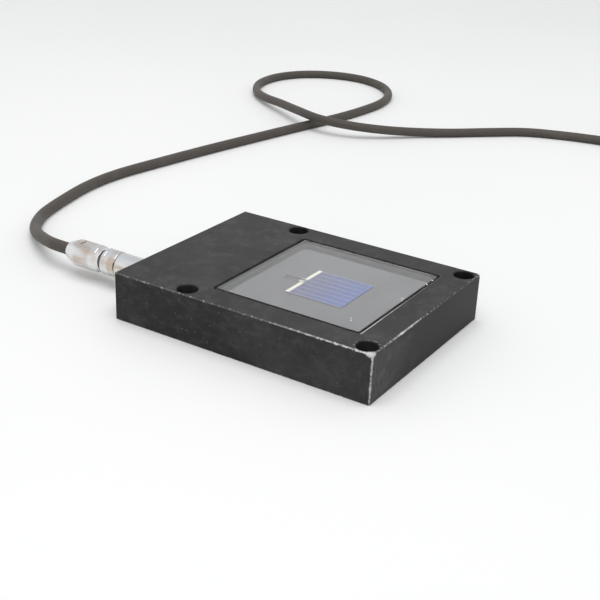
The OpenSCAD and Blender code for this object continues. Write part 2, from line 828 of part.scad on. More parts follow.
module plug_nut_shape() {
    straight = nut_l - nut_cone_l;
    collet_room = nut_l - nut_cone_l + collet_wall + running;
    translate([0, 0, nut_start]) difference() {
        union() {
            cylinder(r1 = nut_d / 2 - nut_chamfer, r2 = nut_d / 2, h = nut_chamfer);
            translate([0, 0, nut_chamfer]) cylinder(d = nut_d, h = straight - nut_chamfer);
            translate([0, 0, straight]) cylinder(r1 = nut_d / 2, r2 = nut_tip_r, h = nut_cone_l);
        }
        translate([0, 0, -over]) cylinder(r = neck_r, h = nut_thread_l + over);
        translate([0, 0, nut_thread_l - over])
            cylinder(r = cable_r + collet_wall, h = collet_room - nut_thread_l + over);
        cylinder(r = cable_hole_r, h = nut_l + over);
        translate([0, 0, nut_flat_start + nut_flat_l / 2]) for (side = [-1, 1])
            translate([side * (nut_flat_across + nut_d) / 2, 0])
                cube([nut_d, nut_d, nut_flat_l], center = true);
    }
}

module latch_sleeve_shape() {
    translate([0, 0, sleeve_start]) difference() {
        union() {
            cylinder(r1 = sleeve_d / 2 - sleeve_chamfer, r2 = sleeve_d / 2, h = sleeve_chamfer);
            translate([0, 0, sleeve_chamfer]) cylinder(d = sleeve_d, h = sleeve_l - 2 * sleeve_chamfer);
            translate([0, 0, sleeve_l - sleeve_chamfer])
                cylinder(r1 = sleeve_d / 2, r2 = sleeve_d / 2 - sleeve_chamfer, h = sleeve_chamfer);
        }
        translate([0, 0, -over]) cylinder(r = collar_r + running, h = collar_l + over + running);
        cylinder(r = neck_r + running, h = sleeve_l + over);
    }
}

module plug_shell() { color("#cfd0d2") near_place() plug_shell_shape(); }
module plug_insert() { color("#e9e4d4") near_place() plug_insert_shape(); }
module plug_pins() { color("#d9b757") near_place() plug_pins_shape(); }
module plug_collet() { color("#b99a52") near_place() plug_collet_shape(); }
module plug_collet_nut() { color("#c6c7c9") near_place() plug_nut_shape(); }
module plug_latch_sleeve() { color("#cccdcf") near_place() latch_sleeve_shape(); }

module far_plug_shell() { color("#cfd0d2") far_place() plug_shell_shape(); }
module far_plug_insert() { color("#e9e4d4") far_place() plug_insert_shape(); }
module far_plug_pins() { color("#d9b757") far_place() plug_pins_shape(); }
module far_plug_collet() { color("#b99a52") far_place() plug_collet_shape(); }
module far_plug_collet_nut() { color("#c6c7c9") far_place() plug_nut_shape(); }
module far_plug_latch_sleeve() { color("#cccdcf") far_place() latch_sleeve_shape(); }

// Cable

module cable_run() { color("#3b3634") tube(smooth(run_points, run_steps), cable_r, run_sides); }
module cable_coil() { color("#3b3634") tube(coil_path, cable_r, coil_sides); }
module cable_tail() { color("#3b3634") tube(tail_points, cable_r, run_sides); }

module coil_tie() {
    color("#1f1f21") translate([coil_x, tie_y, 0]) rotate([90, 0, 90])
        linear_extrude(tie_w, center = true) difference() {
            translate([-tie_inner_l / 2 - tie_t, 0])
                square([tie_inner_l + 2 * tie_t, tie_inner_h + 2 * tie_t]);
            translate([-tie_inner_l / 2, tie_t]) square([tie_inner_l, tie_inner_h]);
        }
}

housing();
window_glass();
window_bead();
solar_cell();
grid_fingers();
busbar();
solder_tab();
front_lead();
feedthrough_sleeve();
back_contact_foil();
rear_lead();
cell_carrier();
thermal_pad();
temperature_sensor();
sensor_leads();
terminal_board();
board_spacers();
board_screws();
terminal_posts();
wire_red();
wire_black();
wire_white();
wire_yellow();
cover_gasket();
back_cover();
cover_screws();
receptacle_shell();
receptacle_seal();
receptacle_insert();
receptacle_sockets();
plug_shell();
plug_insert();
plug_pins();
plug_collet();
plug_collet_nut();
plug_latch_sleeve();
cable_run();
cable_coil();
coil_tie();
cable_tail();
far_plug_shell();
far_plug_insert();
far_plug_pins();
far_plug_collet();
far_plug_collet_nut();
far_plug_latch_sleeve();
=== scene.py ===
"""Solar reference cell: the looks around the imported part. Lengths are in millimetres, apart from those
of the camera, the lamp and the cord's facts, which are in metres."""

import math

import bpy
import numpy as np
from mathutils import Matrix


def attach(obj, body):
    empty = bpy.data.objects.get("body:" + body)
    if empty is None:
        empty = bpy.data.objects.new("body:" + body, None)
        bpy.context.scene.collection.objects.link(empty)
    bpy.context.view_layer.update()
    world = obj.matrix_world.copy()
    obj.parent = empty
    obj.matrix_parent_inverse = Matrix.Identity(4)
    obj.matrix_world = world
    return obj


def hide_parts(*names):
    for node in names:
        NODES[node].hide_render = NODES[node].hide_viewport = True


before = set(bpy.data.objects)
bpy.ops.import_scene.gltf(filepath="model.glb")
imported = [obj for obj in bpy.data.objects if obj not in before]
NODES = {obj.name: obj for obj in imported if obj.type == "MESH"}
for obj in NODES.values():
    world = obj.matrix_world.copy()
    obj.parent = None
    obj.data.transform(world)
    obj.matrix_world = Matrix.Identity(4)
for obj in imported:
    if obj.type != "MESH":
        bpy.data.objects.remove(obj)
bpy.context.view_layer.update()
MM = 0.001

# Sizes of the housing in millimetres, as the solids have them
BODY_L, BODY_W, BODY_H = 92.0, 70.0, 16.0
WINDOW_X = 10.75
WINDOW_SIDE = 51.5
CELL_X = 11.05
CELL_SIDE = 20.0
HOLE_X, HOLE_Y, HOLE_R = 31.25, 31.0, 3.3

# Where the plug's axis lies on the end face
AXIS_Y, AXIS_Z = -15.5, 8.0


# Camera

def place_camera():
    """A camera at the photograph's place: its three axes are the columns of its turn."""
    camera = bpy.data.cameras.new("camera")
    camera.lens = 67.06
    camera.sensor_width = 36.0
    camera.clip_start = 0.01
    camera.clip_end = 50.0
    holder = bpy.data.objects.new("camera", camera)
    right = (0.84031, 0.54068, 0.03922)
    up = (-0.25611, 0.33219, 0.90778)
    back = (0.47779, -0.77286, 0.41761)
    place = (0.17010, -0.27447, 0.15510)
    rows = [[right[i], up[i], back[i], place[i]] for i in range(3)]
    holder.matrix_world = Matrix(rows + [[0.0, 0.0, 0.0, 1.0]])
    bpy.context.scene.collection.objects.link(holder)
    bpy.context.scene.camera = holder


place_camera()


# Meshes

def mesh_piece(name, points, quads, smooth=True, closed=True):
    """A piece from points in millimetres and rows of corners. A closed skin whose signed volume,
    the sum of p0 . (p1 x p2) over its triangles, is negative gets its corners reversed. A corner
    that comes twice in a row is kept once, so a row of four can stand for a triangle."""
    points = np.asarray(points, float) * MM
    quads = np.asarray(quads, int)
    if closed:
        a, b, c, d = (points[quads[:, i]] for i in range(4))
        volume = np.einsum("ij,ij->", a, np.cross(b, c)) + np.einsum("ij,ij->", a, np.cross(c, d))
        if volume < 0:
            quads = quads[:, ::-1]
    faces = [list(dict.fromkeys(row)) for row in quads.tolist()]
    mesh = bpy.data.meshes.new(name)
    mesh.from_pydata(points.tolist(), [], faces)
    mesh.polygons.foreach_set("use_smooth", [smooth] * len(mesh.polygons))
    mesh.update()
    piece = bpy.data.objects.new(name, mesh)
    bpy.context.scene.collection.objects.link(piece)
    return piece


def grid_quads(rows, columns, wrap_rows=False, wrap_columns=False):
    """The quads of a grid of rows times columns points, counted row by row. A wrapped side joins
    its start."""
    r = np.arange(rows if wrap_rows else rows - 1)
    c = np.arange(columns if wrap_columns else columns - 1)
    r, c = (g.ravel() for g in np.meshgrid(r, c, indexing="ij"))
    r1, c1 = (r + 1) % rows, (c + 1) % columns
    return np.stack([r * columns + c, r * columns + c1, r1 * columns + c1, r1 * columns + c], 1)


def unit(v):
    """Each row of v over its own length."""
    return v / np.linalg.norm(v, axis=-1, keepdims=True)


def catmull(points, steps):
    """The smooth curve through the points. Between points b and c, with a before and d after, the
    place at share t is half of 2b + (c - a)t + (2a - 5b + 4c - d)t^2 + (3b - a - 3c + d)t^3."""
    p = np.concatenate([points[:1], points, points[-1:]])
    a, b, c, d = (p[i:len(p) - 3 + i, None, :] for i in range(4))
    t = (np.arange(steps) / steps)[None, :, None]
    curve = 0.5 * (2 * b + (c - a) * t + (2 * a - 5 * b + 4 * c - d) * t**2
                   + (3 * b - a - 3 * c + d) * t**3)
    return np.concatenate([curve.reshape(-1, 3), points[-1:]])


def even(points, spacing):
    """The same path with points about one spacing apart, by its length from the start."""
    run = np.concatenate([[0.0], np.cumsum(np.linalg.norm(np.diff(points, axis=0), axis=1))])
    marks = np.linspace(0.0, run[-1], int(round(run[-1] / spacing)) + 1)
    return np.stack([np.interp(marks, run, points[:, i]) for i in range(3)], 1)


def tube(name, path, radius, sides):
    """A round tube along the path: p + r cos(v) side + r sin(v) up, where side is level and square to the
    path and up is square to both. Each end closes on its middle."""
    along = unit(np.gradient(path, axis=0))
    side = unit(np.cross([0.0, 0.0, 1.0], along))
    up = np.cross(along, side)
    v = 2 * math.pi * np.arange(sides) / sides
    rings = (path[:, None, :] + radius * (np.cos(v)[None, :, None] * side[:, None, :]
             + np.sin(v)[None, :, None] * up[:, None, :]))
    count = len(path)
    points = np.concatenate([rings.reshape(-1, 3), path[:1], path[-1:]])
    quads = grid_quads(count, sides, wrap_columns=True)
    j = np.arange(sides)
    k = (j + 1) % sides
    start, end = count * sides, count * sides + 1
    last = (count - 1) * sides
    caps = np.concatenate([np.stack([np.full(sides, start), k, j, j], 1),
                           np.stack([np.full(sides, end), last + j, last + k, last + k], 1)])
    return mesh_piece(name, points, np.concatenate([quads, caps]))


def fillet(corners, steps=4):
    """A closed outline with round corners. Each corner is (s, r, radius); the arc is the quadratic curve
    from one side to the other, drawn in by the radius, with the corner as its middle point."""
    corners = np.asarray(corners, float)
    here, radius = corners[:, :2], corners[:, 2:3]
    before = here + radius * unit(np.roll(here, 1, axis=0) - here)
    after = here + radius * unit(np.roll(here, -1, axis=0) - here)
    t = (np.arange(steps + 1) / steps)[None, :, None]
    arcs = (1 - t)**2 * before[:, None] + 2 * t * (1 - t) * here[:, None] + t**2 * after[:, None]
    return arcs.reshape(-1, 2)


# How a piece of the plug, drawn outward from the end face, lies on the housing and at the far end:
# where its axis starts, the direction of its flats, the third direction and its axis
NEAR = (np.array([-BODY_L / 2, AXIS_Y, AXIS_Z]), np.array([[0, 0, 1], [0, 1, 0], [-1, 0, 0]], float))


def turned(name, outline, place, sides=96, flat=None):
    """A turned piece: the closed outline (s, r) goes once round the axis, at r cos(v) and r sin(v).
    Between the two ends of a flat, |r cos(v)| is held to half the width across the flats."""
    v = 2 * math.pi * np.arange(sides) / sides
    s, r = outline[:, 0][:, None], outline[:, 1][:, None]
    a, b = r * np.cos(v), r * np.sin(v)
    if flat is not None:
        across, start, end = flat
        inside = (s > start) & (s < end)
        a = np.where(inside, np.clip(a, -across / 2, across / 2), a)
    local = np.stack([a, b, np.broadcast_to(s, a.shape)], -1)
    origin, axes = place
    points = origin + local.reshape(-1, 3) @ axes
    return mesh_piece(name, points, grid_quads(len(outline), sides, True, True))


# The cord: the same points as its solids, in millimetres
CABLE_R = 2.1
RUN = np.array([
    [-76.24, -15.5, 8], [-83.24, -15.5, 8], [-90.5, -15.2, 7.9], [-95.5, -13.5, 7.3],
    [-101, -10.5, 6.2], [-108, -6, 4.6], [-115.5, 0, 3.1], [-122, 7.5, 2.2], [-127, 17, 2.1],
    [-132, 34, 2.1], [-135.5, 51, 2.1],
    [-136, 70, 2.1], [-132.5, 95, 2.1], [-128, 122, 2.1], [-122.5, 150, 2.1], [-116.5, 179, 2.1],
    [-110.5, 206, 2.1], [-107.5, 229, 2.1], [-107.5, 249, 2.1], [-113, 267, 2.1], [-125, 281, 2.1],
    [-142, 288, 2.1], [-160, 285.5, 2.1], [-174.5, 275, 2.1], [-182, 259, 2.1], [-181, 240.5, 2.1],
    [-172, 224.5, 2.4], [-158, 212, 3.6], [-141, 201.5, 5.4], [-124, 191, 6.9], [-107, 184.5, 7],
    [-91, 186.5, 6.2], [-77.5, 196.5, 4.3], [-65.5, 209, 2.7], [-52, 221.5, 2.1], [-38, 235, 2.1],
    [-24, 247, 2.1], [-8, 253.5, 2.1], [9, 257.4, 2.2], [24, 258.6, 2.6], [33.4, 258.6, 2.6],
    [42.8, 258.6, 2.6]
])
COIL_X, COIL_INNER, COIL_PITCH, COIL_TURNS = 47.0, 17.2, 4.65, 5.25
COIL_OUTER = COIL_INNER + COIL_PITCH * COIL_TURNS / 2
COIL_Y = RUN[-1, 1] + COIL_OUTER
COIL_LOW, COIL_HIGH = 2.6, 2.6 + COIL_PITCH
CLIMB_TURNS = 0.5
TAIL_X = COIL_X + COIL_OUTER
TAIL_Y = COIL_Y + 2 * CABLE_R
TAIL_DROP = 18.0
NUT_START = 21.94
NUT_END = 37.24
FLAT_START = NUT_START + 2.8
FLAT_END = NUT_START + 9.0
ACROSS_FLATS = 8.3
FAR_Z = 4.6
FAR_Y = TAIL_Y + TAIL_DROP + NUT_END
FAR = (np.array([TAIL_X, FAR_Y, FAR_Z]), np.array([[1, 0, 0], [0, 0, 1], [0, -1, 0]], float))


def coil_points(steps_per_turn):
    """The coil at turn t: the radius is the inner one plus a pitch for each turn that t lies from the
    middle of the coil. It lies low before the middle and high after it, with the smooth climb
    u^2 (3 - 2u), where u goes from 0 to 1 over the turns of the climb."""
    t = np.linspace(0.0, COIL_TURNS, int(COIL_TURNS * steps_per_turn) + 1)
    r = COIL_INNER + COIL_PITCH * np.abs(t - COIL_TURNS / 2)
    a = np.radians(-90.0 + 360.0 * t)
    u = np.clip((t - COIL_TURNS / 2) / CLIMB_TURNS + 0.5, 0.0, 1.0)
    z = COIL_LOW + (COIL_HIGH - COIL_LOW) * u * u * (3 - 2 * u)
    return np.stack([COIL_X + r * np.cos(a), COIL_Y + r * np.sin(a), z], 1)


def tail_points():
    """From the coil's last turn down to the far plug: straight, then a smooth drop, then straight."""
    ahead = np.array([0.0, 0.12, 0.3, 0.55, 0.8, 1.0]) * TAIL_DROP
    fall = np.array([0.0, 0.0, 0.14, 0.62, 1.0, 1.0]) * (COIL_HIGH - FAR_Z)
    ahead, fall = np.append(ahead, TAIL_DROP + 7.0), np.append(fall, COIL_HIGH - FAR_Z)
    return np.stack([np.full(7, TAIL_X), TAIL_Y + ahead, COIL_HIGH - fall], 1)


def make_cable():
    """One tube on the smooth curve through the run, the coil and the tail."""
    knots_per_turn, steps, spacing, sides = 36, 8, 1.5, 24
    knots = np.concatenate([RUN, coil_points(knots_per_turn), tail_points()])
    path = even(catmull(knots, steps), spacing)
    return tube("cable", path, CABLE_R, sides), path


def make_strap():
    """A strap round the coil's bundle: a closed band that stands on the table. Its outline is a
    rectangle with round corners in the plane square to the turns: a corner's middle plus
    r (cos(v), sin(v)). Across its width, at u from -1 to 1, half its thickness t is
    t/2 (1 - 0.35 |u|^6), thinner at the hems."""
    thick, width, slack, r = 0.5, 9.0, 0.2, 1.9
    inner_l = COIL_OUTER - COIL_INNER + 2 * CABLE_R + 2 * slack
    inner_h = COIL_HIGH - COIL_LOW + 2 * CABLE_R + slack
    middle_y = COIL_Y + (COIL_OUTER + COIL_INNER) / 2
    half_l, half_h = inner_l / 2 + thick / 2, inner_h / 2 + thick / 2
    turn = np.linspace(0.0, 2 * math.pi, 161)[:-1]
    corner_y = np.sign(np.cos(turn)) * (half_l - r)
    corner_z = np.sign(np.sin(turn)) * (half_h - r)
    centre = np.stack([corner_y + r * np.cos(turn), corner_z + r * np.sin(turn)], 1)
    outward = np.stack([np.cos(turn), np.sin(turn)], 1)
    u = np.linspace(-1.0, 1.0, 13)
    hem = thick / 2 * (1.0 - 0.35 * np.abs(u)**6)
    outer = np.stack([u * width / 2, hem], 1)
    inner = np.stack([u[::-1] * width / 2, -hem[::-1]], 1)
    skin = np.concatenate([outer, inner])
    y = centre[:, None, 0] + outward[:, None, 0] * skin[None, :, 1]
    z = centre[:, None, 1] + outward[:, None, 1] * skin[None, :, 1]
    x = np.broadcast_to(skin[None, :, 0], y.shape)
    points = np.stack([COIL_X + x, middle_y + y, half_h + thick / 2 + z], -1).reshape(-1, 3)
    return mesh_piece("coil_strap", points, grid_quads(len(turn), len(skin), True, True))


def sleeve_outline():
    """Half section of the latch sleeve: a round barrel with one shallow grip ring near its back end."""
    start, end, r, bore, room = 14.3, 20.4, 4.5, 3.45, 3.95
    ring, ring_deep, ring_round = 18.7, 0.1, 0.08
    grip = [(ring, r, ring_round), (ring + 0.12, r - ring_deep, ring_round),
            (ring + 0.4, r - ring_deep, ring_round), (ring + 0.52, r, ring_round)]
    front_edge, back_edge = 0.3, 0.35
    step = start + 2.95
    return fillet([(start, room, 0.05), (start, r - front_edge, 0.12), (start + front_edge, r, 0.12),
                   *grip, (end - back_edge, r, 0.14), (end, r - back_edge, 0.14), (end, bore, 0.05),
                   (step, bore, 0.02), (step, room, 0.02)])


def nut_outline():
    """Half section of the collet nut: a wide chamfer, a barrel with two flats and a cone to the cable."""
    start, r, tip, chamfer = NUT_START, 4.6, 2.6, 1.2
    straight = start + 10.9
    neck, cable_hole = 3.4, 2.2
    step = start + 7.1
    hair, hair_round = 0.01, 0.004
    flats = [(at + side, r, hair_round) for at in (FLAT_START, FLAT_END) for side in (-hair, hair)]
    return fillet([(start, neck, 0.05), (start, r - chamfer, 0.1), (start + chamfer, r, 0.2), *flats,
                   (straight, r, 0.3), (NUT_END - 0.3, tip + 0.14, 0.25),
                   (NUT_END, tip - 0.2, 0.1), (NUT_END, cable_hole, 0.05),
                   (step, cable_hole, 0.02), (step, neck, 0.02)])


cable, cable_path = make_cable()
strap = make_strap()
near_sleeve = turned("latch_sleeve", sleeve_outline(), NEAR)
far_sleeve = turned("far_latch_sleeve", sleeve_outline(), FAR)
FLATS = (ACROSS_FLATS, FLAT_START, FLAT_END)
NUT_SIDES = 128
near_nut = turned("collet_nut", nut_outline(), NEAR, NUT_SIDES, FLATS)
far_nut = turned("far_collet_nut", nut_outline(), FAR, NUT_SIDES, FLATS)

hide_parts("cable_run", "cable_coil", "cable_tail")
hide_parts("coil_tie")
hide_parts("plug_latch_sleeve")
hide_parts("far_plug_latch_sleeve")
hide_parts("plug_collet_nut")
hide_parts("far_plug_collet_nut")
for piece, body in ((cable, "plug"), (strap, "plug"), (near_nut, "plug"), (far_nut, "plug"),
                    (near_sleeve, "plug_sleeve"), (far_sleeve, "far_sleeve")):
    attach(piece, body)


# Materials

class Value:
    """One output of a material's nodes. Python's operators on it add Math nodes."""

    def __init__(self, finish, socket):
        self.finish = finish
        self.socket = socket

    def math(self, operation, *others):
        inputs = dict(enumerate((self,) + others))
        return self.finish.node("ShaderNodeMath", {"operation": operation}, inputs)

    def __add__(self, other):
        return self.math("ADD", other)

    def __sub__(self, other):
        return self.math("SUBTRACT", other)

    def __mul__(self, other):
        return self.math("MULTIPLY", other)

    def __rsub__(self, other):
        return self.finish.node("ShaderNodeMath", {"operation": "SUBTRACT"}, {0: other, 1: self})

    def __abs__(self):
        return self.math("ABSOLUTE")

    def __pow__(self, power):
        return self.math("POWER", power)

    __radd__ = __add__
    __rmul__ = __mul__

    def or_more(self, other):
        return self.math("MAXIMUM", other)

    def or_less(self, other):
        return self.math("MINIMUM", other)


class Finish:
    """A material under way: node() adds any node, and the other methods are short names for common ones."""

    def __init__(self, name):
        self.material = bpy.data.materials.new(name)
        self.material.use_nodes = True
        self.tree = self.material.node_tree
        self.tree.nodes.clear()
        place = self.node("ShaderNodeTexCoord", output="Object")
        self.mm = self.node("ShaderNodeVectorMath", {"operation": "SCALE"}, {0: place, "Scale": 1000.0})

    def node(self, kind, settings=None, inputs=None, output=0):
        made = self.tree.nodes.new(kind)
        for name, value in (settings or {}).items():
            setattr(made, name, value)
        for name, value in (inputs or {}).items():
            if isinstance(value, Value):
                self.tree.links.new(value.socket, made.inputs[name])
            else:
                made.inputs[name].default_value = value
        return Value(self, made.outputs[output])

    def axes(self):
        """The three Object coordinates in millimetres."""
        split = self.tree.nodes.new("ShaderNodeSeparateXYZ")
        self.tree.links.new(self.mm.socket, split.inputs[0])
        return tuple(Value(self, split.outputs[i]) for i in range(3))

    def stretched(self, x, y, z):
        """The place in millimetres, times one number along each axis."""
        return self.node("ShaderNodeVectorMath", {"operation": "MULTIPLY"}, {0: self.mm, 1: (x, y, z)})

    def noise(self, scale, detail=3.0, rough=0.5, at=None):
        inputs = {"Vector": at or self.mm, "Scale": scale, "Detail": detail, "Roughness": rough}
        return self.node("ShaderNodeTexNoise", None, inputs)

    def specks(self, density):
        """Distance to the nearest of scattered points, density of them to a millimetre each way."""
        inputs = {"Vector": self.mm, "Scale": density}
        return self.node("ShaderNodeTexVoronoi", None, inputs, "Distance")

    def ramp(self, value, low, high, start=0.0, end=1.0):
        """From start to end, smoothly, as the value goes from low to high."""
        inputs = {"Value": value, "From Min": low, "From Max": high, "To Min": start, "To Max": end}
        return self.node("ShaderNodeMapRange", {"interpolation_type": "SMOOTHSTEP"}, inputs)

    def mix(self, factor, a, b):
        """Colour a at factor 0 and b at 1."""
        a, b = (c if isinstance(c, Value) else (*c, 1.0) for c in (a, b))
        return self.node("ShaderNodeMix", {"data_type": "RGBA"}, {0: factor, 6: a, 7: b}, 2)

    def either(self, factor, a, b):
        """Number a at factor 0 and b at 1."""
        return self.node("ShaderNodeMix", {"data_type": "FLOAT"}, {0: factor, 2: a, 3: b})

    def bump(self, height, strength, depth):
        """A Bump node whose height of 1 stands for the depth in millimetres."""
        inputs = {"Height": height, "Strength": strength, "Distance": depth * MM}
        return self.node("ShaderNodeBump", None, inputs)

    def surface(self, colour, roughness, metallic=0.0, normal=None, **fixed):
        """The closing Principled shader, whose fixed sockets take plain numbers."""
        inputs = {"Base Color": colour if isinstance(colour, Value) else (*colour, 1.0),
                  "Roughness": roughness, "Metallic": metallic}
        if normal is not None:
            inputs["Normal"] = normal
        inputs.update({name.replace("_", " "): value for name, value in fixed.items()})
        return self.node("ShaderNodeBsdfPrincipled", None, inputs)

    def close(self, shader):
        out = self.tree.nodes.new("ShaderNodeOutputMaterial")
        self.tree.links.new(shader.socket, out.inputs["Surface"])
        return self.material


def black_anodised():
    """Satin black anodised aluminium, worn to bare metal along the edges, most of all at the corner
    where the front, the right side and the top meet. right, front, top, left, back and bottom are
    the distances from those six sides."""
    f = Finish("black_anodised")
    x, y, z = f.axes()
    half_l, half_w = BODY_L / 2, BODY_W / 2
    grain = f.noise(5.0, 3.0, 0.6)
    cloud = f.noise(0.07, 4.0, 0.6)
    chip = f.noise(0.75, 4.0, 0.62)
    fine = f.noise(3.2, 3.0, 0.6)

    right, front, top = half_l - x, y + half_w, BODY_H - z
    left, back, bottom = x + half_l, half_w - y, z
    flakes = f.ramp(chip, 0.50, 0.66)
    crumbs = f.ramp(fine, 0.50, 0.62)

    def worn(edge, reach):
        """1 where the distance from the edge is under its local reach in millimetres."""
        return f.ramp(edge - reach, -0.10, 0.06, 1.0, 0.0)

    line = f.ramp(x, 2.0, 14.0)
    toward_corner = f.ramp(x, 0.0, 44.0)
    front_top = worn(front + top, line * (0.31 + 0.08 * crumbs) + flakes * (0.10 + 0.28 * toward_corner))
    front_top = (front_top * (0.35 + 0.5 * toward_corner)).or_more(
        worn(front + top, 0.31 + 0.06 * crumbs + 0.14 * flakes) * (0.16 + 0.3 * flakes))
    stretch = f.ramp(abs(y + 15.0), 3.0, 12.0, 1.0, 0.0)
    right_reach = 0.23 + 0.10 * crumbs + 0.06 * flakes + stretch * (0.08 + 0.12 * flakes)
    right_top = worn(right + top, right_reach)
    near_upright = worn(right + front, 0.30 + 0.16 * crumbs + 0.24 * flakes) * (0.7 + 0.3 * crumbs)
    far_upright = worn(right + back, 0.31 + 0.10 * flakes) * (0.2 + 0.4 * flakes)
    left_upright = worn(left + front, 0.31 + 0.06 * crumbs + 0.14 * flakes) * (0.2 + 0.45 * flakes)
    left_top = worn(left + top, 0.31 + 0.08 * flakes) * (0.08 + 0.4 * flakes)
    back_top = worn(back + top, 0.31 + 0.08 * flakes) * (0.08 + 0.4 * flakes)
    low_edges = worn((front + bottom).or_less(right + bottom), 0.27 + 0.12 * flakes)
    low_edges = low_edges * (0.1 + 0.5 * flakes)
    corner = (right * right * 0.5 + front * front * 0.8 + top * top * 2.6) ** 0.5
    corner_chip = f.ramp(corner + 1.8 * (chip - 0.5), 1.2, 2.1, 0.9, 0.0)
    back_corner = (right * right + back * back + top * top) ** 0.5
    back_corner = f.ramp(back_corner + 2.0 * (fine - 0.5), 0.7, 1.2, 1.0, 0.0)
    from_hole_x, from_hole_y = x - WINDOW_X - HOLE_X, y + HOLE_Y
    hole = (from_hole_x * from_hole_x + from_hole_y * from_hole_y) ** 0.5
    hole_rim = f.ramp(abs(hole - HOLE_R - 0.3) - 0.3 * flakes, 0.05, 0.25, 1.0, 0.0)
    hole_rim = hole_rim * f.ramp(chip, 0.5, 0.6)
    rim = x - WINDOW_X - WINDOW_SIDE / 2
    rim_reach = (0.20 + 0.15 * crumbs + 0.35 * flakes) * f.ramp(y, -26.0, 8.0, 1.0, 0.25)
    window_rim = (f.ramp(abs(rim - 0.32) - rim_reach, -0.10, 0.06, 1.0, 0.0)
                  * f.ramp(abs(y), WINDOW_SIDE / 2 - 0.25, WINDOW_SIDE / 2 + 0.25, 1.0, 0.0)
                  * f.ramp(y, -4.0, 22.0, 0.75, 0.3))
    wear = front_top
    for mask in (right_top, near_upright, far_upright, left_upright, left_top, back_top, low_edges,
                 corner_chip, back_corner, window_rim * f.ramp(top, 0.1, 0.4, 1.0, 0.0),
                 hole_rim * f.ramp(top, 0.02, 0.35, 0.22, 0.0)):
        wear = wear.or_more(mask)

    near_front = f.ramp(front, 0.0, 14.0, 1.0, 0.0)
    dots = f.ramp(f.specks(0.6), 0.07, 0.12, 1.0, 0.0) * f.ramp(f.noise(0.35, 1.0), 0.46, 0.6)
    dots = dots * near_front
    rubs = f.noise(1.0, 3.0, 0.6, f.stretched(3.4, 3.4, 0.2))
    by_corner = f.ramp(x, 34.0, 43.0) * f.ramp(front, 0.4, 0.8, 1.0, 0.0)
    rubs = f.ramp(rubs, 0.56, 0.72) * by_corner * f.ramp(z, 1.5, 6.0)
    side_rubs = f.noise(1.0, 3.0, 0.65, f.stretched(0.2, 1.6, 0.3))
    on_right = f.ramp(right, 0.4, 0.8, 1.0, 0.0)
    rubs = rubs + f.ramp(side_rubs, 0.44, 0.70) * on_right * f.ramp(y, -32.0, -12.0, 1.0, 0.0) * 0.8
    nearness = f.ramp(right + front, 4.0, 60.0, 1.0, 0.0)
    smear = f.noise(0.22, 5.0, 0.7, f.stretched(1.0, 0.8, 1.6))
    haze = (f.ramp(cloud, 0.42, 0.68) * 0.35 + f.ramp(grain, 0.42, 0.72) * 0.35 + nearness * 0.25
            + f.ramp(smear, 0.45, 0.7) * 0.45)
    scuff = f.ramp(f.noise(0.6, 4.0, 0.65, f.stretched(1.0, 2.4, 2.4)), 0.58, 0.72) * 0.25

    # painted shade: the right side of the housing gets darker toward its back end
    right_side_shade = f.ramp(right, 0.2, 0.6, 1.0, 0.0) * f.ramp(y, -30.0, 14.0) * 1.1
    deep_black, hazy_black = (0.0150, 0.0145, 0.0148), (0.056, 0.055, 0.055)
    dust_grey, bare_metal = (0.30, 0.30, 0.295), (0.62, 0.62, 0.61)
    black = f.mix((haze - right_side_shade).or_less(1.0).or_more(0.0), deep_black, hazy_black)
    dusty = f.mix((rubs * 0.16 + scuff * 0.12 + dots * 0.55).or_less(1.0), black, dust_grey)
    colour = f.mix(wear, dusty, bare_metal)
    roughness = 0.40 + 0.10 * grain + 0.06 * cloud - 0.06 * wear
    height = grain * 0.5 - wear * 1.0
    normal = f.bump(height, 0.35, 0.03)
    return f.close(f.surface(colour, roughness, wear * 0.85, normal, IOR=1.25))


def window_glass():
    """Polished window with scattered dust and two larger specks. Light passes straight on where a ray
    only carries shadow."""
    f = Finish("window_glass")
    clear = f.surface((0.985, 0.99, 0.99), 0.0, IOR=1.45, Transmission_Weight=1.0)
    straight = f.node("ShaderNodeBsdfTransparent", None, {"Color": (0.96, 0.97, 0.97, 1.0)})
    shadow = f.node("ShaderNodeLightPath", output="Is Shadow Ray")
    glass = f.node("ShaderNodeMixShader", None, {0: shadow, 1: clear, 2: straight})
    dots = f.ramp(f.specks(0.11), 0.012, 0.018, 1.0, 0.0) * f.ramp(f.noise(0.3, 1.0), 0.5, 0.56)
    x, y = f.axes()[:2]
    soft_edge = 0.08
    for at_x, at_y, radius in ((34.8, 3.0, 0.34), (29.4, -18.3, 0.28)):
        away = ((x - at_x) * (x - at_x) + (y - at_y) * (y - at_y)) ** 0.5
        dots = dots.or_more(f.ramp(away, radius - soft_edge, radius + soft_edge, 1.0, 0.0))
    dust = f.surface((0.72, 0.72, 0.70), 0.9)
    return f.close(f.node("ShaderNodeMixShader", None, {0: dots, 1: glass, 2: dust}))


def plain(name, colour, roughness, vary=0.12, size=0.8, bump=0.01, metallic=0.0, **fixed):
    """A finish with a mottle: the colour runs from itself less a share to itself plus that share."""
    f = Finish(name)
    mottle = f.noise(1.0 / size, 4.0, 0.6)
    low, high = (tuple(min(1.0, c * (1.0 + sign * vary)) for c in colour) for sign in (-1, 1))
    shade = f.mix(f.ramp(mottle, 0.3, 0.7), low, high)
    return f.close(f.surface(shade, roughness + 0.12 * (mottle - 0.5), metallic,
                             f.bump(mottle, 0.5, bump), **fixed))


